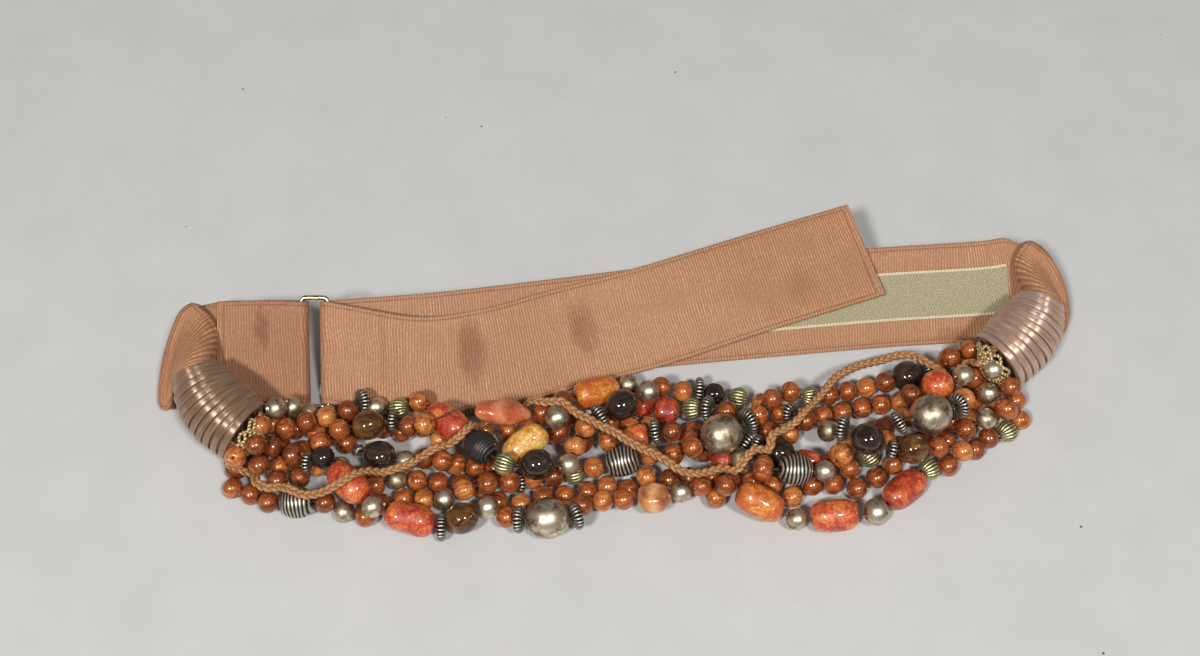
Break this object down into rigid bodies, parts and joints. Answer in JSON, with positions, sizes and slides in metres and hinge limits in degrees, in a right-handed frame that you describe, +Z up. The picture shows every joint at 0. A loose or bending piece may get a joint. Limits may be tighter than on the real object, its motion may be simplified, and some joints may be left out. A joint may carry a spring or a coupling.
{
  "type": "beaded belt",
  "caption": "Ribbed fabric belt with a slide ring, cord-wrapped ends, strings of mixed beads and a braided leather cord across the front.",
  "frame": {"origin": "middle of the underside of the belt as it lies on a table", "axes": "+X along the belt to the right as seen from the bead side, +Y from the beads to the strap, +Z up from the table"},
  "size_m": [0.3506, 0.1325, 0.0323],
  "materials": {
    "agate_stone": "polished",
    "amber_resin": "clear, amber",
    "backing_tape": "herringbone weave, cream edges",
    "banded_bead": "wire-wound",
    "wood_beads": "varnished",
    "carnelian_stone": "polished",
    "black_bead": "grooved",
    "braided_leather": "braided",
    "gold_cord": "metallic thread",
    "taupe_cord": "satin cord",
    "strap_fabric": "ribbed weave",
    "marbled_resin": "marbled",
    "red_resin": "polished, mottled",
    "beige_cord": "satin cord",
    "antique_silver": "tarnished",
    "ring_metal": "polished",
    "smoky_resin": "clear, smoky",
    "yellow_resin": "polished, mottled"
  },
  "bodies": {
    "root": {"agate_chunk_1": "agate_stone", "amber_bead_1": "amber_resin", "amber_bead_2": "amber_resin", "amber_bead_3": "amber_resin", "backing_tape": "backing_tape", "banded_bead_1": "banded_bead", "banded_bead_2": "banded_bead", "banded_bead_3": "banded_bead", "bead_string_front": "wood_beads", "bead_string_low": "wood_beads", "bead_string_middle": "wood_beads", "bead_string_over": "wood_beads", "bead_string_under_back": "wood_beads", "bead_string_under_front": "wood_beads", "bead_string_upper": "wood_beads", "carnelian_chunk_1": "carnelian_stone", "grooved_bead_1": "black_bead", "leather_cord": "braided_leather", "left_cord_knot": "gold_cord", "left_cord_wrap": "taupe_cord", "left_strap": "strap_fabric", "long_strap": "strap_fabric", "marbled_bead_1": "marbled_resin", "red_barrel_1": "red_resin", "red_barrel_2": "red_resin", "red_barrel_3": "red_resin", "red_barrel_4": "red_resin", "red_barrel_5": "red_resin", "right_cord_knot": "gold_cord", "right_cord_wrap": "beige_cord", "silver_ball_1": "antique_silver", "silver_ball_2": "antique_silver", "silver_ball_3": "antique_silver", "slide_ring": "ring_metal", "smoky_bead_1": "smoky_resin", "smoky_bead_2": "smoky_resin", "smoky_bead_3": "smoky_resin", "smoky_bead_4": "smoky_resin", "smoky_bead_5": "smoky_resin", "smoky_bead_6": "smoky_resin", "yellow_barrel_1": "yellow_resin", "yellow_barrel_2": "yellow_resin", "yellow_barrel_3": "yellow_resin"}
  },
  "joints": []
}
